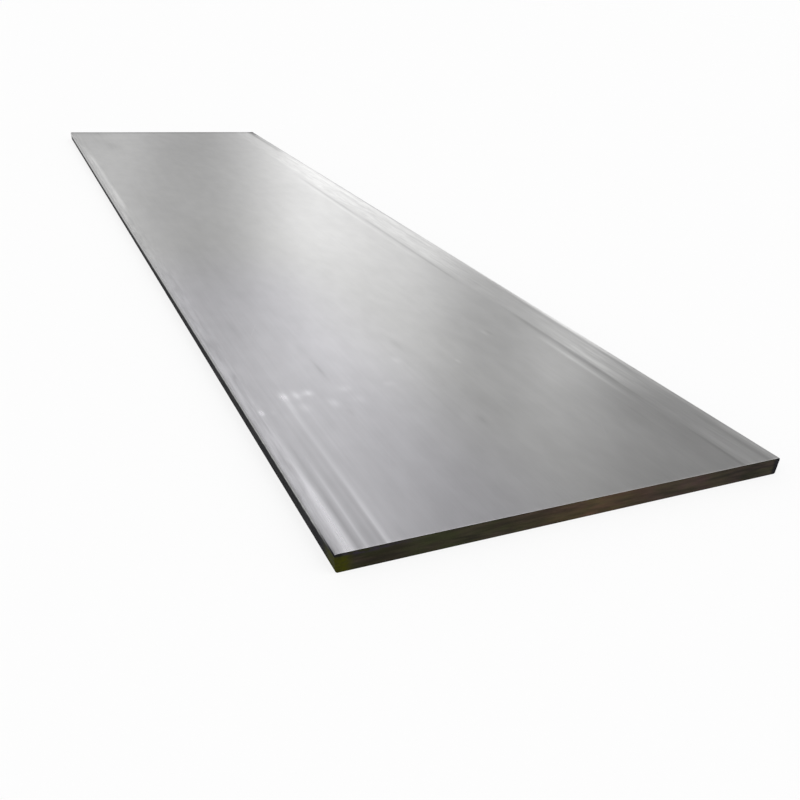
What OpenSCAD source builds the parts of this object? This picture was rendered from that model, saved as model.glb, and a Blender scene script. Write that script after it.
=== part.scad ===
// Steel plate: one slab of rolled flat stock, with rounded long sides as rolled and square cut ends.
// +Y runs along the length, which is the rolling direction, and +Z is up.
// The origin is at the middle of the lower face.

/* [Plate] */
// Length overall, along the rolling direction
plate_length = 6000; // [2000:100:12000]
// Width overall, across the rolling direction
plate_width = 1500; // [1000:50:3000]
// Thickness, from one rolled face to the other
plate_thickness = 60; // [20:1:150]

/* [Long sides] */
// How far each long side leans in between the upper face and the lower one
side_draw_in = 6; // [0:0.5:8]
// Radius of the upper arris of each long side
side_upper_r = 8; // [1:0.5:9]
// Radius of the lower arris of each long side
side_lower_r = 10; // [1:0.5:11]

/* [Cut ends] */
// Radius of the upper arris of each end
end_upper_r = 1.5; // [0.5:0.5:4]
// Radius of the lower arris of each end
end_lower_r = 4; // [0.5:0.5:8]

/* [Hidden] */
$fn = 48;
// Grey of the rolled faces
steel_colour = [0.70, 0.70, 0.71];
// How far each section is carried past the outline of the other before the two are intersected
overrun = plate_thickness;

// The vector v at a length of one.
function unit(v) = v / norm(v);

// Closed outline through convex corners, with an arc of its own radius at each corner.
// The polygon joins the points where the arcs meet the straight edges, and the circles fill out its corners.
module rounded_outline(corners, radii) {
    last = len(corners) - 1;
    to_previous = [for (i = [0 : last]) unit(corners[i == 0 ? last : i - 1] - corners[i])];
    to_next = [for (i = [0 : last]) unit(corners[i == last ? 0 : i + 1] - corners[i])];
    half_angle = [for (i = [0 : last]) acos(to_previous[i] * to_next[i]) / 2];
    polygon([
        for (i = [0 : last])
            for (way = [to_previous[i], to_next[i]])
                corners[i] + way * radii[i] / tan(half_angle[i])
    ]);
    for (i = [0 : last])
        translate(corners[i] + unit(to_previous[i] + to_next[i]) * radii[i] / sin(half_angle[i]))
            circle(r = radii[i]);
}

// Section of the slab: flat faces, two edges that lean in towards the lower face, and rounded arrises.
// The sharp upper corner stands out past its arc, so that the rounded edge keeps to the overall size.
module slab_section(overall, draw_in, upper_r, lower_r) {
    lean = atan(draw_in / plate_thickness);
    stand_out = upper_r * (1 / tan((90 - lean) / 2) - 1);
    upper_half = overall / 2 + stand_out;
    lower_half = upper_half - draw_in;
    rounded_outline(
        [
            [-lower_half, 0],
            [lower_half, 0],
            [upper_half, plate_thickness],
            [-upper_half, plate_thickness],
        ],
        [lower_r, lower_r, upper_r, upper_r]
    );
}

// One section is drawn across the width and runs along the length; the other is drawn along the length.
// What the two have in common is the plate, with its arrises mitred at the four corners.
module plate() {
    color(steel_colour)
        intersection() {
            rotate([90, 0, 0])
                linear_extrude(plate_length + 2 * overrun, center = true)
                    slab_section(plate_width, side_draw_in, side_upper_r, side_lower_r);
            rotate([90, 0, 90])
                linear_extrude(plate_width + 2 * overrun, center = true)
                    slab_section(plate_length, 0, end_upper_r, end_lower_r);
        }
}

plate();
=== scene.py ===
"""Looks of the steel plate: satin rolled faces, dark sides and ends, a pale floor and soft light.

The camera has the photograph's view. Lengths are in metres and angles in degrees.
+Y runs along the plate, away from the camera, and +Z is up.
"""

import math
from collections import namedtuple

import bpy
import numpy as np
from mathutils import Matrix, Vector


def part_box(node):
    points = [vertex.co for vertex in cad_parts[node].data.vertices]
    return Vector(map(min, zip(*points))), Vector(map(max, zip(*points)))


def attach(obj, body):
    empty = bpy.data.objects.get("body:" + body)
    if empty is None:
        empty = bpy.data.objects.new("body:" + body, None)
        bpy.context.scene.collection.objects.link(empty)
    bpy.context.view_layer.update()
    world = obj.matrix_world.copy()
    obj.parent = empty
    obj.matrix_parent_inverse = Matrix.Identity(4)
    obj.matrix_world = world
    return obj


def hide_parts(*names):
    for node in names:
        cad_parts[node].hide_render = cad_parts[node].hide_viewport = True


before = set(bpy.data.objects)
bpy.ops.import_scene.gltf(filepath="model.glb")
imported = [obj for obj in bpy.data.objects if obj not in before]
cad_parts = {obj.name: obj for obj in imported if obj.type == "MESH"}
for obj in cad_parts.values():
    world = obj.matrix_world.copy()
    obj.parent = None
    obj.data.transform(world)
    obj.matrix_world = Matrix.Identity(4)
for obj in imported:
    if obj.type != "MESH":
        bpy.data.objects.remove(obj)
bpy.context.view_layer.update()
plate_low, plate_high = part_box("plate")

# Driving sizes of the plate. The outer ones come from the frame.
HALF_WIDTH = (plate_high.x - plate_low.x) / 2
HALF_LENGTH = (plate_high.y - plate_low.y) / 2
THICKNESS = plate_high.z
# An edge leans in towards the lower face, and its two arrises are rounded.
Rim = namedtuple("Rim", "draw_in upper_r lower_r")
LONG_SIDE = Rim(draw_in=0.006, upper_r=0.008, lower_r=0.010)
CUT_END = Rim(draw_in=0.0, upper_r=0.0015, lower_r=0.004)
# Radius of the four upright corners
CORNER_R = 0.002

# Density of the mesh
ACROSS_STEP = 0.02
ALONG_STEP = 0.03
ARC_STEPS = 7
SIDE_LAYERS = 12
CORNER_ANGLES = (22.5, 45)
# Decimals kept in the height of a ring, so that rings that nearly coincide become one
RING_DECIMALS = 4
# The rolled finish runs over the arris until the surface is this steep (cosine of its tilt)
STEEL_TILT = 0.62

# Texture map: strips for the left, right, front, back, lower and upper sheet, as shares of its width
SHEET_STRIPS = ((0.86, 0.885), (0.895, 0.92), (0.93, 0.955), (0.965, 0.99), (0.67, 0.84), (0.01, 0.65))
# Ends of every strip, as shares of the map's height
STRIP_ENDS = (0.01, 0.99)
# Lattice axes that run across and along a strip: for the long sides, the ends and the faces
STRIP_AXES = ((2, 1), (2, 0), (0, 1))

# Relief of the mesh: how far the upper face and the edges stray from true, in waves of about these lengths
FACE_WAVE = 0.0006
FACE_WAVELENGTH = 0.9
EDGE_WAVE = 0.0008
EDGE_WAVELENGTH = 0.16
# How much shorter the waves of the edges are in height than along the edges
EDGE_LAYERING = 8
# Power of the height by which the wave of the upper face dies away below it
FACE_WAVE_FADE = 4
# How many waves are summed, and how their lengths spread about the one that is given
WAVE_COUNT = 12
WAVE_SPREAD = (0.7, 1.5)
SEED = 7

# A ramp eases a value from one range into another.
Ramp = namedtuple("Ramp", "low high to_low to_high", defaults=(0.0, 1.0))
# A bell is a hump that falls to nothing about two widths from its centre.
Bell = namedtuple("Bell", "centre width")
# A noise has this many features a metre along X, Y and Z.
Noise = namedtuple("Noise", "scales detail roughness", defaults=(0.5,))
# Range that holds most values of a noise
NOISE_SPAN = (0.2, 0.8)

# Marks of the upper face, with painted reflection and shade among them. A positive gain is lighter than the
# steel around it, a negative one darker.
# Streaks run lengthwise, each at a distance from one long side, and fade out at both ends.
# A streak that reaches an end of the plate runs off it.
Streak = namedtuple("Streak", "inset width start end fade gain")
OFF_FRONT = -4.0
OFF_BACK = 4.0
# The streaks are roll marks and painted reflections: lighter and darker lines where the waves along the
# long sides catch the light.
LEFT_STREAKS = (
    Streak(inset=0.038, width=0.014, start=OFF_FRONT, end=-2.45, fade=0.45, gain=1.50),
    Streak(inset=0.043, width=0.014, start=OFF_FRONT, end=-1.90, fade=0.50, gain=0.30),
    Streak(inset=0.067, width=0.008, start=OFF_FRONT, end=-2.20, fade=0.70, gain=-0.40),
    Streak(inset=0.089, width=0.006, start=OFF_FRONT, end=-2.35, fade=0.60, gain=0.55),
    Streak(inset=0.108, width=0.011, start=OFF_FRONT, end=-2.20, fade=0.70, gain=-0.25),
    Streak(inset=0.132, width=0.007, start=OFF_FRONT, end=-2.20, fade=0.80, gain=-0.25),
    Streak(inset=0.148, width=0.009, start=OFF_FRONT, end=-2.55, fade=0.40, gain=0.40),
    Streak(inset=0.146, width=0.008, start=OFF_FRONT, end=-2.02, fade=0.20, gain=0.30),
    Streak(inset=0.192, width=0.010, start=-2.75, end=-2.10, fade=0.30, gain=0.10),
    Streak(inset=0.030, width=0.012, start=0.10, end=2.60, fade=0.40, gain=0.40),
    Streak(inset=0.043, width=0.010, start=0.20, end=2.20, fade=0.40, gain=0.50),
    Streak(inset=0.013, width=0.009, start=-2.90, end=-1.60, fade=0.40, gain=0.35),
    Streak(inset=0.011, width=0.009, start=-0.40, end=2.90, fade=0.60, gain=0.35),
)
RIGHT_STREAKS = (
    Streak(inset=0.155, width=0.009, start=OFF_FRONT, end=-2.65, fade=0.25, gain=-0.60),
    Streak(inset=0.156, width=0.012, start=-2.60, end=-1.45, fade=0.30, gain=-0.70),
    Streak(inset=0.180, width=0.008, start=-1.30, end=0.20, fade=0.40, gain=-0.45),
    Streak(inset=0.190, width=0.008, start=-0.10, end=1.30, fade=0.40, gain=-0.45),
    Streak(inset=0.192, width=0.010, start=-2.60, end=-1.80, fade=0.30, gain=0.42),
    Streak(inset=0.214, width=0.010, start=-1.00, end=1.20, fade=0.50, gain=0.20),
    Streak(inset=0.120, width=0.012, start=OFF_FRONT, end=-2.65, fade=0.25, gain=0.30),
    Streak(inset=0.118, width=0.011, start=-2.50, end=-1.90, fade=0.25, gain=0.32),
    Streak(inset=0.048, width=0.010, start=OFF_FRONT, end=-2.65, fade=0.25, gain=-0.40),
    Streak(inset=0.023, width=0.011, start=OFF_FRONT, end=-2.65, fade=0.15, gain=0.30),
    Streak(inset=0.033, width=0.011, start=-2.45, end=-1.30, fade=0.30, gain=-0.40),
    Streak(inset=0.064, width=0.010, start=-0.90, end=1.00, fade=0.40, gain=-0.20),
    Streak(inset=0.043, width=0.011, start=-0.80, end=2.10, fade=0.50, gain=0.22),
    Streak(inset=0.036, width=0.017, start=2.00, end=OFF_BACK, fade=0.25, gain=-0.75),
    Streak(inset=0.016, width=0.009, start=OFF_FRONT, end=-0.80, fade=0.40, gain=0.65),
    Streak(inset=0.008, width=0.007, start=-2.20, end=-0.80, fade=0.40, gain=0.85),
    Streak(inset=0.003, width=0.009, start=-0.50, end=OFF_BACK, fade=0.60, gain=-1.20),
)
Spot = namedtuple("Spot", "x y wide long gain")
SPOTS = (
    # Broad patches of painted reflection and shade, lighter and darker as the reflected light falls on the
    # face
    Spot(x=-0.680, y=-2.000, wide=0.170, long=1.500, gain=0.27),
    Spot(x=-0.580, y=-2.900, wide=0.050, long=0.140, gain=0.13),
    Spot(x=0.560, y=-2.550, wide=0.160, long=0.250, gain=-0.30),
    Spot(x=0.420, y=-2.250, wide=0.100, long=0.150, gain=0.13),
    Spot(x=0.020, y=-2.300, wide=0.110, long=0.180, gain=-0.12),
    Spot(x=-0.250, y=-1.850, wide=0.220, long=0.300, gain=0.16),
    Spot(x=0.150, y=-0.350, wide=0.260, long=0.400, gain=0.12),
    Spot(x=-0.540, y=0.600, wide=0.120, long=0.500, gain=-0.16),
    # The bright dot by the left side, and the pale dabs beside it
    Spot(x=-0.703, y=-2.220, wide=0.007, long=0.016, gain=1.60),
    Spot(x=-0.601, y=-2.130, wide=0.013, long=0.026, gain=1.00),
    Spot(x=-0.599, y=-2.190, wide=0.010, long=0.050, gain=0.35),
    Spot(x=-0.559, y=-2.130, wide=0.013, long=0.030, gain=0.58),
    Spot(x=-0.515, y=-2.123, wide=0.016, long=0.022, gain=0.62),
    Spot(x=-0.535, y=-2.130, wide=0.030, long=0.014, gain=0.12),
    Spot(x=-0.562, y=-2.222, wide=0.018, long=0.034, gain=0.38),
    Spot(x=-0.456, y=-2.219, wide=0.016, long=0.030, gain=0.45),
    Spot(x=-0.386, y=-2.127, wide=0.024, long=0.024, gain=0.28),
    Spot(x=-0.366, y=-2.215, wide=0.026, long=0.032, gain=0.22),
    Spot(x=-0.221, y=-2.133, wide=0.022, long=0.018, gain=0.20),
    Spot(x=-0.668, y=-2.228, wide=0.009, long=0.016, gain=0.20),
    # The dark scratch, and small marks around it
    Spot(x=-0.412, y=-1.950, wide=0.008, long=0.075, gain=-0.34),
    Spot(x=-0.416, y=-1.755, wide=0.012, long=0.060, gain=-0.14),
    Spot(x=-0.429, y=-2.302, wide=0.010, long=0.026, gain=-0.18),
    Spot(x=-0.109, y=-1.953, wide=0.012, long=0.030, gain=0.28),
    Spot(x=-0.047, y=-1.810, wide=0.016, long=0.050, gain=-0.22),
    Spot(x=-0.039, y=-2.477, wide=0.012, long=0.030, gain=-0.18),
    Spot(x=0.113, y=-2.023, wide=0.007, long=0.018, gain=0.30),
    Spot(x=0.357, y=-1.795, wide=0.008, long=0.030, gain=0.25),
    Spot(x=0.378, y=-1.798, wide=0.008, long=0.030, gain=-0.28),
    Spot(x=-0.713, y=-1.924, wide=0.008, long=0.030, gain=-0.35),
    Spot(x=-0.604, y=-1.507, wide=0.020, long=0.090, gain=-0.20),
    # Darker patches at the back left, and the dark corners at the back right and the front left
    Spot(x=-0.507, y=2.380, wide=0.045, long=0.130, gain=-0.22),
    Spot(x=-0.570, y=2.550, wide=0.100, long=0.350, gain=-0.20),
    Spot(x=-0.560, y=2.900, wide=0.110, long=0.060, gain=-0.35),
    Spot(x=0.745, y=2.970, wide=0.035, long=0.160, gain=-1.60),
    Spot(x=-0.750, y=-2.995, wide=0.007, long=0.040, gain=-1.00),
)
# How far a gain of 1 lightens the steel and changes its roughness, and how light the steel may get
PAINTED_LIGHT_AND_MARK_TONE = 0.45
MARK_ROUGHNESS = -0.05
TONE_LIMIT = 1.60
# How strong a mark is from place to place along it
MARK_FLECKS = Noise(scales=(70.0, 2.0, 70.0), detail=3.0)
MARK_STRENGTH = Ramp(0.3, 0.7, 0.75, 1.15)
# The lower face has no marks: they fade in between these heights
UPPER_HALF = Ramp(0.4 * THICKNESS, 0.6 * THICKNESS)
# Lines across the plate: paler by the front arris, darker by the back one
Line = namedtuple("Line", "width tone")
FRONT_LINE = Line(width=0.010, tone=0.04)
BACK_LINE = Line(width=0.050, tone=-0.50)

# The streaky band by the right side, lighter partly as painted reflection of the waves along that side: its
# inner border, and the stretches where it is stronger
BAND_BORDER = Ramp(0.57, 0.61)
BAND_TONE = 0.24
BAND_REST = 0.4
Stretch = namedtuple("Stretch", "start end fade share")
BAND_STRETCHES = (
    Stretch(start=OFF_FRONT, end=-2.70, fade=0.10, share=0.22),
    Stretch(start=-2.55, end=-1.80, fade=0.25, share=0.50),
    Stretch(start=-1.20, end=2.20, fade=0.50, share=0.60),
)
# The rim by the left side is streaky too, and partly painted reflection as well. Both are made of short
# dashes, and are a little rougher.
LEFT_RIM_BORDER = Ramp(-0.66, -0.73)
DASHES = Noise(scales=(75.0, 6.0, 75.0), detail=3.0, roughness=0.6)
DASH_SWING = Ramp(0.25, 0.75, -1.0, 1.0)
DASH_TONE = 0.13
DASH_RELIEF = 0.25
RIM_ROUGHNESS = 0.03

# Steel of the rolled faces, with a lilac tint towards the front left
STEEL_GREY = (0.600, 0.598, 0.594)
STEEL_LILAC = (0.596, 0.590, 0.616)
LILAC_ACROSS = Ramp(0.1, -0.4)
LILAC_ALONG = Ramp(-0.2, -1.2)
STEEL_ROUGHNESS = 0.33
GRAIN = Noise(scales=(220.0, 1.1, 220.0), detail=3.0)
GRAIN_TONE = 0.022
GRAIN_ROUGHNESS = 0.015
GRAIN_RELIEF = 0.12
CLOUDS = Noise(scales=(2.6, 1.0, 2.6), detail=3.0)
CLOUD_TONE = 0.035
CLOUD_ROUGHNESS = 0.02
SMUDGES = Noise(scales=(16.0, 6.0, 16.0), detail=3.0)
SMUDGE_TONE = 0.04
# Scuffs lie at this angle to the length, and only the peaks of their noise show
SCUFFS = Noise(scales=(110.0, 4.0, 110.0), detail=2.0)
SCUFF_ANGLE = 24
SCUFF_PEAKS = Ramp(0.70, 0.80)
SCUFF_TONE = 0.05
SCUFF_RELIEF = -0.3
# Height of a relief of 1
FACE_BUMP = 0.0002

# Oxide of the sides and ends: layers, larger patches, flecks and tinted patches
OXIDE_LAYERS = Noise(scales=(9.0, 9.0, 90.0), detail=4.0, roughness=0.6)
OXIDE_PATCHES = Noise(scales=(6.0, 6.0, 30.0), detail=3.0)
OXIDE_FLECKS = Noise(scales=(40.0, 40.0, 120.0), detail=2.0)
OXIDE_TINTS = Noise(scales=(11.0, 11.0, 30.0), detail=2.0)
OXIDE_DARK = (0.015, 0.013, 0.0095)
OXIDE_LIGHT = (0.032, 0.027, 0.018)
LAYER_MIX = Ramp(0.3, 0.7)
LAYER_SHADE = Ramp(0.25, 0.75, 0.75, 1.2)
OXIDE_ROUGHNESS = 0.7
LAYER_ROUGHNESS = 0.1
OXIDE_SPECULAR = 0.05
FLECK_RELIEF = 0.3
# Height of a relief of 1
EDGE_BUMP = 0.0012
# Colours along the cut ends, from left to right
Zone = namedtuple("Zone", "across colour")
END_ZONES = (
    Zone(across=Bell(-0.62, 0.13), colour=(0.015, 0.0135, 0.006)),
    Zone(across=Bell(-0.42, 0.20), colour=(0.026, 0.026, 0.013)),
    Zone(across=Bell(0.08, 0.24), colour=(0.062, 0.041, 0.023)),
    Zone(across=Bell(0.38, 0.16), colour=(0.044, 0.031, 0.024)),
)
# The patches thin those colours, down to a quarter
ZONE_PATCHES = Ramp(0.3, 0.62, 0.25, 1.0)
# Factors that turn patches of the ends olive or mauve
OLIVE_TINT = (0.95, 1.04, 0.92)
MAUVE_TINT = (1.05, 0.96, 1.09)
TINT_MIX = Ramp(0.38, 0.62)
# Rust low on the ends, near their middle
RUST_COLOUR = (0.095, 0.046, 0.018)
RUST_ACROSS = Bell(0.1, 0.35)
RUST_HEIGHT = Ramp(0.035, 0.012)
RUST_PATCHES = Ramp(0.55, 0.7)
RUST_SHARE = 0.7
# A violet line high on the ends, at the left
VIOLET_COLOUR = (0.030, 0.022, 0.040)
VIOLET_ACROSS = Ramp(-0.46, -0.66)
VIOLET_HEIGHT = Bell(0.052, 0.006)
VIOLET_FLECKS = Ramp(0.35, 0.6)
VIOLET_SHARE = 0.8
# The sides are painted near black as shade, and the ends close to them are as dark
SIDE_SHADE_BLACK = (0.004, 0.004, 0.005)
SIDE_SHADE_GREY = (0.012, 0.012, 0.014)
SIDE_SHADE_MIX = Ramp(0.3, 0.7)
SIDE_SHADE_REACH = Ramp(HALF_WIDTH - 0.030, HALF_WIDTH - 0.014)
# A daub on the front left corner, painted the dark olive it shows in shade
DAUB_IN_SHADE_COLOUR = (0.031, 0.032, 0.0003)
DAUB_ACROSS = Ramp(-0.69, -0.725)
DAUB_ALONG = Ramp(-2.90, -2.98)
DAUB_HEIGHT = Ramp(0.055, 0.045)
DAUB_FLECKS = Ramp(0.3, 0.6, 0.6, 1.0)
# The rolled finish wraps over the arris of a long side, duller than on the face.
# It fades out between two depths below the upper face, along a ragged line, and it stops short of the ends.
# The depths grow towards the back by a factor.
WRAP_GREY = (0.380, 0.380, 0.378)
WRAP_FADE = Ramp(0.015, 0.005)
WRAP_RAGGED = 0.002
WRAP_GROWTH = Ramp(-2.8, 1.5, 1.0, 2.5)
WRAP_FRONT = Ramp(-HALF_LENGTH + 0.01, -HALF_LENGTH + 0.18)
WRAP_BACK = Ramp(HALF_LENGTH - 0.002, HALF_LENGTH - 0.006)

# Camera, solved from the edges of the plate in the photograph's frame
IMAGE_SIDE = 800
FOCAL_PIXELS = 862.3
CENTRE_PIXEL = (413.0, 389.5)
CAMERA_EYE = (-1.3962, -4.6077, 1.3277)
CAMERA_TURN = 27.209
CAMERA_DIP = 25.117
CAMERA_ROLL = 4.427
CAMERA_REACH = 400
SENSOR = 36

# Light. Each panel stands in the dome at a turn from +Y towards +X and a lift above the horizon.
WHITE = (1.0, 1.0, 1.0)
Panel = namedtuple("Panel", "turn lift width height gain")
PANELS = (
    Panel(turn=7, lift=45, width=2.5, height=33, gain=1.47),
    Panel(turn=20, lift=2, width=4.2, height=25, gain=1.85),
    Panel(turn=27, lift=2, width=2.8, height=36, gain=1.13),
    Panel(turn=38, lift=17, width=2.5, height=11, gain=1.36),
    Panel(turn=345, lift=22, width=13, height=20, gain=0.60),
)
# The panels fade in above the horizon, between these heights on a dome of radius 1
PANEL_FOOT = Ramp(0.03, 0.08)
# The dome is darker in front of the camera, so that the panels show in the steel, and pale all round
DOME_AHEAD = 0.304
DOME_AROUND = 0.92
AHEAD_TURN = 22
AHEAD_SPREAD = (55, 95)
# The dome is near white by the horizon, and takes on the levels above between these heights
HORIZON_LEVEL = 0.985
HORIZON_BAND = (0.027, 0.060)
FLOOR_COLOUR = (0.94, 0.94, 0.94)
# Share of the floor that shows plain white
FLOOR_WHITE = 0.75
FLOOR_HALF = 150.0
FLOOR_DROP = 0.0005
SUN_LEVEL = 1.1
SUN_SPREAD = 90
SUN_TILT = 35
SUN_TURN = -20


class Graph:
    """A node tree, with short calls for the nodes that the finishes share."""

    def __init__(self, tree):
        self.tree = tree
        self.tree.nodes.clear()

    def node(self, kind, **settings):
        """A new node with these settings."""
        made = self.tree.nodes.new(kind)
        for name, value in settings.items():
            setattr(made, name, value)
        return made

    def feed(self, socket, value):
        """Links a socket to another one, or sets it to a plain value."""
        if isinstance(value, bpy.types.NodeSocket):
            self.tree.links.new(value, socket)
        elif isinstance(value, tuple) and len(value) == 3 and socket.type == "RGBA":
            socket.default_value = (*value, 1.0)
        else:
            socket.default_value = value

    def math(self, operation, *values):
        """Result of one operation on sockets and numbers."""
        made = self.node("ShaderNodeMath", operation=operation)
        for socket, value in zip(made.inputs, values):
            self.feed(socket, value)
        return made.outputs[0]

    def times(self, *values):
        """Product of several sockets and numbers."""
        result = values[0]
        for value in values[1:]:
            result = self.math("MULTIPLY", result, value)
        return result

    def total(self, values):
        """Sum of several sockets and numbers."""
        result = values[0]
        for value in values[1:]:
            result = self.math("ADD", result, value)
        return result

    def remap(self, value, low, high, to_low=0.0, to_high=1.0):
        """value eased from the range low to high into the range to_low to to_high."""
        made = self.node("ShaderNodeMapRange", interpolation_type="SMOOTHSTEP")
        for socket, given in zip(made.inputs, (value, low, high, to_low, to_high)):
            self.feed(socket, given)
        return made.outputs[0]

    def sway(self, noise, amount):
        """A noise turned into a number that sways about 0, by that amount either way."""
        return self.remap(noise, *NOISE_SPAN, -amount, amount)

    def bell(self, value, centre, width):
        """1 where value is at centre, falling to nothing about two widths away."""
        away = self.math("DIVIDE", self.math("SUBTRACT", value, centre), width)
        return self.math("EXPONENT", self.times(away, away, -1.0))

    def window(self, value, start, end, fade):
        """1 between start and end, eased to 0 over fade at both of them."""
        rise = self.remap(value, start, start + fade)
        fall = self.remap(value, end - fade, end, 1.0, 0.0)
        return self.times(rise, fall)

    def axes(self, vector):
        """X, Y and Z of a vector."""
        made = self.node("ShaderNodeSeparateXYZ")
        self.feed(made.inputs[0], vector)
        return made.outputs

    def multiplied(self, vector, factors):
        """A vector or colour times three factors, one for each of its numbers."""
        made = self.node("ShaderNodeVectorMath", operation="MULTIPLY")
        self.feed(made.inputs[0], vector)
        self.feed(made.inputs[1], factors)
        return made.outputs[0]

    def scaled(self, colour, factor):
        """A colour times one factor."""
        made = self.node("ShaderNodeVectorMath", operation="SCALE")
        self.feed(made.inputs[0], colour)
        self.feed(made.inputs["Scale"], factor)
        return made.outputs[0]

    def turned(self, vector, angle):
        """A place turned about the vertical."""
        made = self.node("ShaderNodeVectorRotate", rotation_type="Z_AXIS")
        self.feed(made.inputs["Vector"], vector)
        self.feed(made.inputs["Angle"], math.radians(angle))
        return made.outputs[0]

    def noise(self, vector, settings):
        """Noise from 0 to 1 at a place."""
        made = self.node("ShaderNodeTexNoise")
        self.feed(made.inputs["Vector"], self.multiplied(vector, settings.scales))
        self.feed(made.inputs["Scale"], 1.0)
        self.feed(made.inputs["Detail"], settings.detail)
        self.feed(made.inputs["Roughness"], settings.roughness)
        return made.outputs[0]

    def mix(self, factor, first, second):
        """Blend of two colours. The node's sockets share their names, so these are taken by number."""
        made = self.node("ShaderNodeMix", data_type="RGBA")
        self.feed(made.inputs[0], factor)
        self.feed(made.inputs[6], first)
        self.feed(made.inputs[7], second)
        return made.outputs[2]

    def bump(self, relief, distance):
        """Normal of a surface whose relief of 1 is that high."""
        made = self.node("ShaderNodeBump")
        self.feed(made.inputs["Strength"], 1.0)
        self.feed(made.inputs["Distance"], distance)
        self.feed(made.inputs["Height"], relief)
        return made.outputs["Normal"]


def new_material(name):
    """A material with one Principled shader: its graph, the shader's inputs and the place on the object."""
    material = bpy.data.materials.new(name)
    material.use_nodes = True
    graph = Graph(material.node_tree)
    shader = graph.node("ShaderNodeBsdfPrincipled")
    output = graph.node("ShaderNodeOutputMaterial")
    graph.feed(output.inputs["Surface"], shader.outputs[0])
    place = graph.node("ShaderNodeTexCoord").outputs["Object"]
    return material, graph, shader.inputs, place


def rim_inset(rim, height):
    """How far an edge lies inside the overall size at each height: an arc, a lean and another arc."""
    lean = math.atan(rim.draw_in / THICKNESS)
    straight_top = THICKNESS - rim.upper_r * (1 + math.sin(lean))
    straight_foot = rim.lower_r * (1 - math.sin(lean))
    start = rim.upper_r * (1 - math.cos(lean))
    foot_inset = start + (straight_top - straight_foot) * math.tan(lean)
    above = np.clip(height - THICKNESS + rim.upper_r, -rim.upper_r, rim.upper_r)
    below = np.clip(rim.lower_r - height, -rim.lower_r, rim.lower_r)
    upper_arc = rim.upper_r - np.sqrt(rim.upper_r ** 2 - above ** 2)
    lower_arc = foot_inset + rim.lower_r * math.cos(lean) - np.sqrt(rim.lower_r ** 2 - below ** 2)
    straight = start + (straight_top - height) * math.tan(lean)
    return np.select([height > straight_top, height < straight_foot], [upper_arc, lower_arc], straight)


def ring_heights():
    """Heights of the rings round the plate: close together on the arrises and even between them."""
    drop = 1 - np.cos(np.radians(np.linspace(0, 90, ARC_STEPS + 1)))
    heights = [np.linspace(LONG_SIDE.lower_r, THICKNESS - LONG_SIDE.upper_r, SIDE_LAYERS + 1)]
    for rim in (LONG_SIDE, CUT_END):
        heights.append(THICKNESS - rim.upper_r * drop)
        heights.append(rim.lower_r * drop)
    return np.unique(np.concatenate(heights).round(RING_DECIMALS))


def stations(half, step):
    """Lattice stations along one axis, as (share of the straight part, offset into the corner)."""
    count = round(2 * half / step) + 1
    straight = [(share, 0.0) for share in np.linspace(-1, 1, count)]
    bend = [(1.0, CORNER_R * math.tan(math.radians(angle))) for angle in CORNER_ANGLES]
    low_end = [(-share, -offset) for share, offset in reversed(bend)]
    return np.array(low_end + straight + bend)


def shell_quads(shape):
    """Numbers the points on the outside of a lattice, and lists the quads that join them by sheet."""
    outside = np.ones(shape, bool)
    outside[1:-1, 1:-1, 1:-1] = False
    number = np.full(shape, -1)
    number[outside] = np.arange(outside.sum())
    quads = []
    for axis in range(3):
        # In the order below, corners face outward at the low end of Y and at the high ends of X and Z
        for end, outward in ((0, axis == 1), (-1, axis != 1)):
            sheet = np.take(number, end, axis)
            corners = [sheet[:-1, :-1], sheet[1:, :-1], sheet[1:, 1:], sheet[:-1, 1:]]
            if not outward:
                corners.reverse()
            quads.append(np.stack(corners, -1).reshape(-1, 4))
    return outside, quads


def smooth_noise(points, wavelength, random):
    """Seeded waves of about that length in every direction, from about -1 to 1, at each point."""
    ways = random.normal(size=(WAVE_COUNT, 3))
    ways /= np.linalg.norm(ways, axis=1, keepdims=True)
    pitches = 2 * math.pi / (wavelength * random.uniform(*WAVE_SPREAD, WAVE_COUNT))
    phases = random.uniform(0, 2 * math.pi, WAVE_COUNT)
    return np.sin(points @ (ways * pitches[:, None]).T + phases).sum(1) / math.sqrt(WAVE_COUNT) / 2


def wave_share(points, wavelength, random):
    """The same waves as a share from 0 to 1."""
    return np.clip(1 + smooth_noise(points, wavelength, random), 0, 2) / 2


def plate_mesh():
    """Points of a closed slab, slightly wavy as rolled and cut steel is, its quads, and lattice shares."""
    random = np.random.default_rng(SEED)
    across = stations(HALF_WIDTH, ACROSS_STEP)
    along = stations(HALF_LENGTH, ALONG_STEP)
    heights = ring_heights()
    lattice = (len(across), len(along), len(heights))
    outside, quads = shell_quads(lattice)
    i, j, k = np.nonzero(outside)
    z = heights[k]
    half = np.stack([HALF_WIDTH - rim_inset(LONG_SIDE, z), HALF_LENGTH - rim_inset(CUT_END, z)], -1)
    share = np.stack([across[i, 0], along[j, 0]], -1)
    offset = np.stack([across[i, 1], along[j, 1]], -1)
    reach = np.linalg.norm(offset, axis=1, keepdims=True)
    square = np.abs(offset).max(1, keepdims=True)
    rounded = np.divide(offset * square, reach, out=np.zeros_like(offset), where=reach > 0)
    points = np.column_stack([share * (half - CORNER_R) + rounded, z])

    rise = z / THICKNESS
    face_wave = wave_share(points * (1, 1, 0), FACE_WAVELENGTH, random)
    edge_wave = wave_share(points * (1, 1, EDGE_LAYERING), EDGE_WAVELENGTH, random)
    clear_of_faces = 4 * rise * (1 - rise)
    points[:, :2] -= rounded / CORNER_R * (EDGE_WAVE * edge_wave * clear_of_faces)[:, None]
    points[:, 2] -= FACE_WAVE * face_wave * rise ** FACE_WAVE_FADE
    shares = np.stack([i, j, k], -1) / (np.array(lattice) - 1)
    return points, quads, shares


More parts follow.
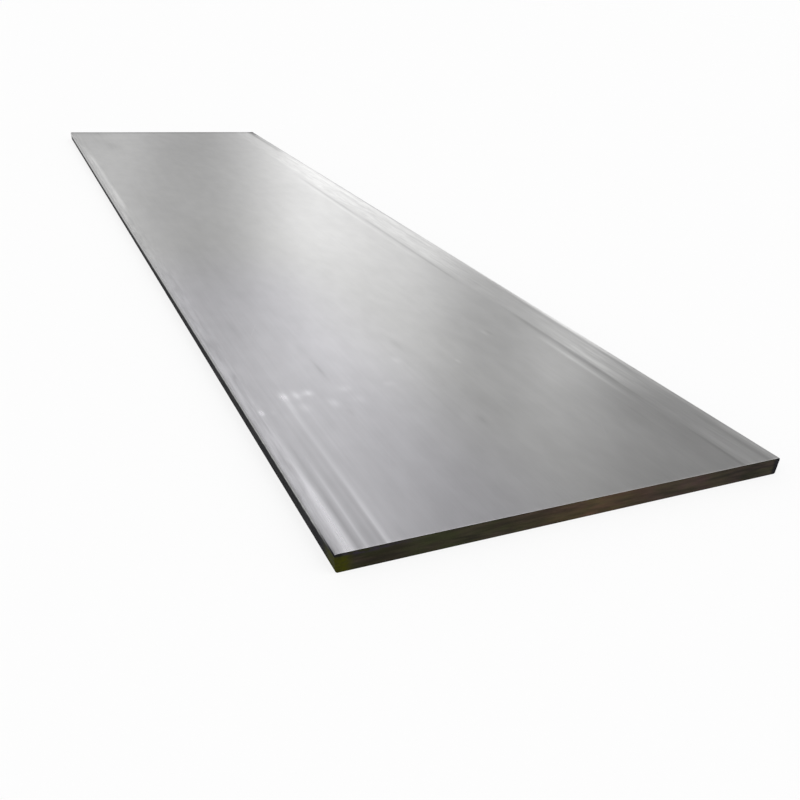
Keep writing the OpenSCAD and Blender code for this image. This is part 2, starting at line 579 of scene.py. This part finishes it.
def sheet_map(quads, shares):
    """Texture places of every quad's corners: a strip for each sheet, the widest for the upper face."""
    foot, head = STRIP_ENDS
    places = []
    for sheet, (left, right) in enumerate(SHEET_STRIPS):
        u_axis, v_axis = STRIP_AXES[sheet // 2]
        corners = shares[quads[sheet].ravel()]
        u = left + (right - left) * corners[:, u_axis]
        v = foot + (head - foot) * corners[:, v_axis]
        places.append(np.stack([u, v], -1))
    return np.concatenate(places)


def face_marks_and_painted_light(graph, x, y):
    """Sum of the streaks and spots of the upper face, painted reflection and shade among them."""
    marks_and_painted_light = []
    for side, listed in ((-1, LEFT_STREAKS), (1, RIGHT_STREAKS)):
        for streak in listed:
            line = graph.bell(x, side * (HALF_WIDTH - streak.inset), streak.width)
            reach = graph.window(y, streak.start, streak.end, streak.fade)
            marks_and_painted_light.append(graph.times(line, reach, streak.gain))
    for spot in SPOTS:
        blot = graph.times(graph.bell(x, spot.x, spot.wide), graph.bell(y, spot.y, spot.long))
        marks_and_painted_light.append(graph.times(blot, spot.gain))
    return graph.total(marks_and_painted_light)


def right_band(graph, x, y):
    """Strength of the streaky band by the right side."""
    shares = [BAND_REST]
    for stretch in BAND_STRETCHES:
        reach = graph.window(y, stretch.start, stretch.end, stretch.fade)
        shares.append(graph.times(reach, stretch.share))
    return graph.times(graph.remap(x, *BAND_BORDER), graph.total(shares))


def rolled_face():
    """Satin rolled steel: faint lengthwise grain, streaks, streaky long sides, spots and scuffs, with
    painted reflection and shade in the streaks, the long sides and the broad patches.
    """
    material, graph, shader, place = new_material("rolled_face")
    x, y, z = graph.axes(place)
    upper = graph.remap(z, *UPPER_HALF)
    grain = graph.noise(place, GRAIN)
    clouds = graph.noise(place, CLOUDS)
    smudges = graph.noise(place, SMUDGES)
    scuffs = graph.remap(graph.noise(graph.turned(place, SCUFF_ANGLE), SCUFFS), *SCUFF_PEAKS)
    strength = graph.remap(graph.noise(place, MARK_FLECKS), *MARK_STRENGTH)
    # Real marks, and painted reflection and shade, in the colour of the upper face
    marks_and_painted_light = graph.times(face_marks_and_painted_light(graph, x, y), strength, upper)
    band = graph.times(right_band(graph, x, y), upper)
    left_rim = graph.times(graph.remap(x, *LEFT_RIM_BORDER), upper)
    rims = graph.math("MAXIMUM", band, left_rim)
    dashes = graph.times(rims, graph.remap(graph.noise(place, DASHES), *DASH_SWING))

    tone = graph.total([
        1.0,
        graph.sway(grain, GRAIN_TONE),
        graph.sway(clouds, CLOUD_TONE),
        graph.sway(smudges, SMUDGE_TONE),
        graph.times(marks_and_painted_light, PAINTED_LIGHT_AND_MARK_TONE),
        graph.times(band, BAND_TONE),
        graph.times(dashes, DASH_TONE),
        graph.times(scuffs, SCUFF_TONE),
        graph.times(graph.bell(y, -HALF_LENGTH, FRONT_LINE.width), upper, FRONT_LINE.tone),
        graph.times(graph.bell(y, HALF_LENGTH, BACK_LINE.width), upper, BACK_LINE.tone),
    ])
    lilac = graph.times(graph.remap(x, *LILAC_ACROSS), graph.remap(y, *LILAC_ALONG), upper)
    steel = graph.mix(lilac, STEEL_GREY, STEEL_LILAC)
    graph.feed(shader["Base Color"], graph.scaled(steel, graph.math("MINIMUM", tone, TONE_LIMIT)))
    graph.feed(shader["Metallic"], 1.0)
    roughness = graph.total([
        STEEL_ROUGHNESS,
        graph.sway(grain, GRAIN_ROUGHNESS),
        graph.sway(clouds, CLOUD_ROUGHNESS),
        graph.times(marks_and_painted_light, MARK_ROUGHNESS),
        graph.times(rims, RIM_ROUGHNESS),
    ])
    graph.feed(shader["Roughness"], roughness)
    relief = graph.total([
        graph.times(grain, GRAIN_RELIEF),
        graph.times(dashes, DASH_RELIEF),
        graph.times(scuffs, SCUFF_RELIEF),
    ])
    graph.feed(shader["Normal"], graph.bump(relief, FACE_BUMP))
    return material


def end_oxide(graph, place, x, z, layers, flecks):
    """Colour of the cut ends: brown layers and zones, rust, a violet line, olive and mauve patches."""
    patches = graph.noise(place, OXIDE_PATCHES)
    colour = graph.mix(graph.remap(layers, *LAYER_MIX), OXIDE_DARK, OXIDE_LIGHT)
    patchy = graph.remap(patches, *ZONE_PATCHES)
    for zone in END_ZONES:
        colour = graph.mix(graph.times(graph.bell(x, *zone.across), patchy), colour, zone.colour)
    rust = graph.times(
        graph.remap(patches, *RUST_PATCHES),
        graph.remap(z, *RUST_HEIGHT),
        graph.bell(x, *RUST_ACROSS),
        RUST_SHARE,
    )
    colour = graph.mix(rust, colour, RUST_COLOUR)
    violet = graph.times(
        graph.bell(z, *VIOLET_HEIGHT),
        graph.remap(x, *VIOLET_ACROSS),
        graph.remap(flecks, *VIOLET_FLECKS),
        VIOLET_SHARE,
    )
    colour = graph.mix(violet, colour, VIOLET_COLOUR)
    colour = graph.scaled(colour, graph.remap(layers, *LAYER_SHADE))
    tinted = graph.remap(graph.noise(place, OXIDE_TINTS), *TINT_MIX)
    return graph.multiplied(colour, graph.mix(tinted, OLIVE_TINT, MAUVE_TINT))


def corner_daub(graph, x, y, z, flecks):
    """Strength of the olive daub."""
    return graph.times(
        graph.remap(x, *DAUB_ACROSS),
        graph.remap(y, *DAUB_ALONG),
        graph.remap(z, *DAUB_HEIGHT),
        graph.remap(flecks, *DAUB_FLECKS),
    )


def finish_wrap(graph, y, z, flecks):
    """Share of the rolled finish on a long side: full by the upper face, none lower down or at the ends."""
    depth = graph.total([graph.math("SUBTRACT", THICKNESS, z), graph.sway(flecks, WRAP_RAGGED)])
    depth = graph.math("DIVIDE", depth, graph.remap(y, *WRAP_GROWTH))
    clear_of_ends = graph.times(graph.remap(y, *WRAP_FRONT), graph.remap(y, *WRAP_BACK))
    return graph.times(graph.remap(depth, *WRAP_FADE), clear_of_ends)


def dark_edge():
    """Steel under dark oxide: mottled brown ends, sides painted near black as shade, the rolled finish over
    the arrises.
    """
    material, graph, shader, place = new_material("dark_edge")
    x, y, z = graph.axes(place)
    layers = graph.noise(place, OXIDE_LAYERS)
    flecks = graph.noise(place, OXIDE_FLECKS)
    colour = end_oxide(graph, place, x, z, layers, flecks)
    # Painted shade: the sides near black, and the ends as dark close to them
    side_shade = graph.remap(graph.math("ABSOLUTE", x), *SIDE_SHADE_REACH)
    black = graph.mix(graph.remap(flecks, *SIDE_SHADE_MIX), SIDE_SHADE_BLACK, SIDE_SHADE_GREY)
    colour = graph.mix(side_shade, colour, black)
    # The daub's colour is painted as dark as the shade makes it
    colour = graph.mix(corner_daub(graph, x, y, z, flecks), colour, DAUB_IN_SHADE_COLOUR)

    wrap = finish_wrap(graph, y, z, flecks)
    oxide = graph.math("SUBTRACT", 1.0, wrap)
    graph.feed(shader["Base Color"], graph.mix(wrap, colour, WRAP_GREY))
    graph.feed(shader["Metallic"], wrap)
    graph.feed(shader["Specular IOR Level"], OXIDE_SPECULAR)
    dull = graph.total([OXIDE_ROUGHNESS, graph.sway(layers, LAYER_ROUGHNESS)])
    roughness = graph.total([graph.times(oxide, dull), graph.times(wrap, STEEL_ROUGHNESS)])
    graph.feed(shader["Roughness"], roughness)
    relief = graph.total([layers, graph.times(flecks, FLECK_RELIEF)])
    graph.feed(shader["Normal"], graph.bump(graph.times(relief, oxide), EDGE_BUMP))
    return material


def add_plate():
    """The dressed plate, which stands for the plain solid."""
    points, quads, shares = plate_mesh()
    faces = np.concatenate(quads)
    mesh = bpy.data.meshes.new("rolled_plate")
    mesh.from_pydata(points.tolist(), [], faces.tolist())
    mesh.materials.append(rolled_face())
    mesh.materials.append(dark_edge())
    normals = np.empty(len(faces) * 3)
    mesh.polygons.foreach_get("normal", normals)
    steep = np.abs(normals[2::3]) < STEEL_TILT
    mesh.polygons.foreach_set("material_index", steep.astype(np.int32))
    mesh.polygons.foreach_set("use_smooth", np.ones(len(faces), bool))
    texture_map = mesh.uv_layers.new(name="OFBake")
    texture_map.uv.foreach_set("vector", sheet_map(quads, shares).ravel())
    mesh.update()
    plate = bpy.data.objects.new("rolled_plate", mesh)
    bpy.context.scene.collection.objects.link(plate)
    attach(plate, "root")
    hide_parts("plate")


def floor_material():
    """Pale matte that shows mostly white to the camera and in reflections, and still takes a shadow."""
    material = bpy.data.materials.new("pale_floor")
    material.use_nodes = True
    graph = Graph(material.node_tree)
    path = graph.node("ShaderNodeLightPath").outputs
    seen = graph.math("MAXIMUM", path["Is Camera Ray"], path["Is Glossy Ray"])
    seen = graph.math("MAXIMUM", seen, path["Is Transmission Ray"])
    matte = graph.node("ShaderNodeBsdfDiffuse")
    graph.feed(matte.inputs["Color"], FLOOR_COLOUR)
    white = graph.node("ShaderNodeEmission")
    graph.feed(white.inputs["Color"], WHITE)
    blend = graph.node("ShaderNodeMixShader")
    graph.feed(blend.inputs[0], graph.times(seen, FLOOR_WHITE))
    graph.feed(blend.inputs[1], matte.outputs[0])
    graph.feed(blend.inputs[2], white.outputs[0])
    output = graph.node("ShaderNodeOutputMaterial")
    graph.feed(output.inputs["Surface"], blend.outputs[0])
    return material


def add_floor():
    """A wide flat floor, just under the plate."""
    half = FLOOR_HALF
    corners = [(-half, -half, 0), (half, -half, 0), (half, half, 0), (-half, half, 0)]
    mesh = bpy.data.meshes.new("floor")
    mesh.from_pydata(corners, [], [(0, 1, 2, 3)])
    mesh.materials.append(floor_material())
    floor = bpy.data.objects.new("floor", mesh)
    floor.location.z = -FLOOR_DROP
    bpy.context.scene.collection.objects.link(floor)


def add_world():
    """A pale dome that meets the floor, grey ahead of the camera, with soft panels of light in the grey."""
    world = bpy.data.worlds.new("dome")
    bpy.context.scene.world = world
    world.use_nodes = True
    graph = Graph(world.node_tree)
    x, y, z = graph.axes(graph.node("ShaderNodeTexCoord").outputs["Generated"])
    turn = graph.math("ARCTAN2", x, y)
    lift = graph.math("ARCSINE", z)
    foot = graph.remap(z, *PANEL_FOOT)

    def turn_from(middle):
        return graph.math("WRAP", graph.math("SUBTRACT", turn, math.radians(middle)), math.pi, -math.pi)

    aside = graph.math("ABSOLUTE", turn_from(AHEAD_TURN))
    near, far = (math.radians(spread) for spread in AHEAD_SPREAD)
    dome = graph.remap(aside, near, far, DOME_AHEAD, DOME_AROUND)
    levels = [graph.remap(z, *HORIZON_BAND, HORIZON_LEVEL, dome)]
    for panel in PANELS:
        spread = graph.bell(turn_from(panel.turn), 0.0, math.radians(panel.width))
        rise = graph.bell(lift, math.radians(panel.lift), math.radians(panel.height))
        levels.append(graph.times(spread, rise, foot, panel.gain))
    sky = graph.node("ShaderNodeBackground")
    graph.feed(sky.inputs["Color"], WHITE)
    graph.feed(sky.inputs["Strength"], graph.total(levels))
    output = graph.node("ShaderNodeOutputWorld")
    graph.feed(output.inputs["Surface"], sky.outputs[0])


def add_sun():
    """A soft light from above and behind the camera, even over the whole floor."""
    data = bpy.data.lights.new("soft_sun", "SUN")
    data.energy = SUN_LEVEL
    data.angle = math.radians(SUN_SPREAD)
    sun = bpy.data.objects.new("soft_sun", data)
    sun.rotation_euler = (math.radians(SUN_TILT), 0, math.radians(SUN_TURN))
    bpy.context.scene.collection.objects.link(sun)


def add_camera():
    """The photograph's view. The roll turns the view about its own axis."""
    data = bpy.data.cameras.new("camera")
    data.sensor_width = SENSOR
    data.lens = FOCAL_PIXELS * SENSOR / IMAGE_SIDE
    data.shift_x = (IMAGE_SIDE / 2 - CENTRE_PIXEL[0]) / IMAGE_SIDE
    data.shift_y = (CENTRE_PIXEL[1] - IMAGE_SIDE / 2) / IMAGE_SIDE
    data.clip_end = CAMERA_REACH
    camera = bpy.data.objects.new("camera", data)
    turn = Matrix.Rotation(math.radians(-CAMERA_TURN), 4, "Z")
    dip = Matrix.Rotation(math.radians(90 - CAMERA_DIP), 4, "X")
    roll = Matrix.Rotation(math.radians(CAMERA_ROLL), 4, "Z")
    camera.matrix_world = Matrix.Translation(CAMERA_EYE) @ turn @ dip @ roll
    bpy.context.scene.collection.objects.link(camera)
    bpy.context.scene.camera = camera


add_plate()
add_floor()
add_world()
add_sun()
add_camera()
bpy.context.scene.view_settings.view_transform = "Standard"
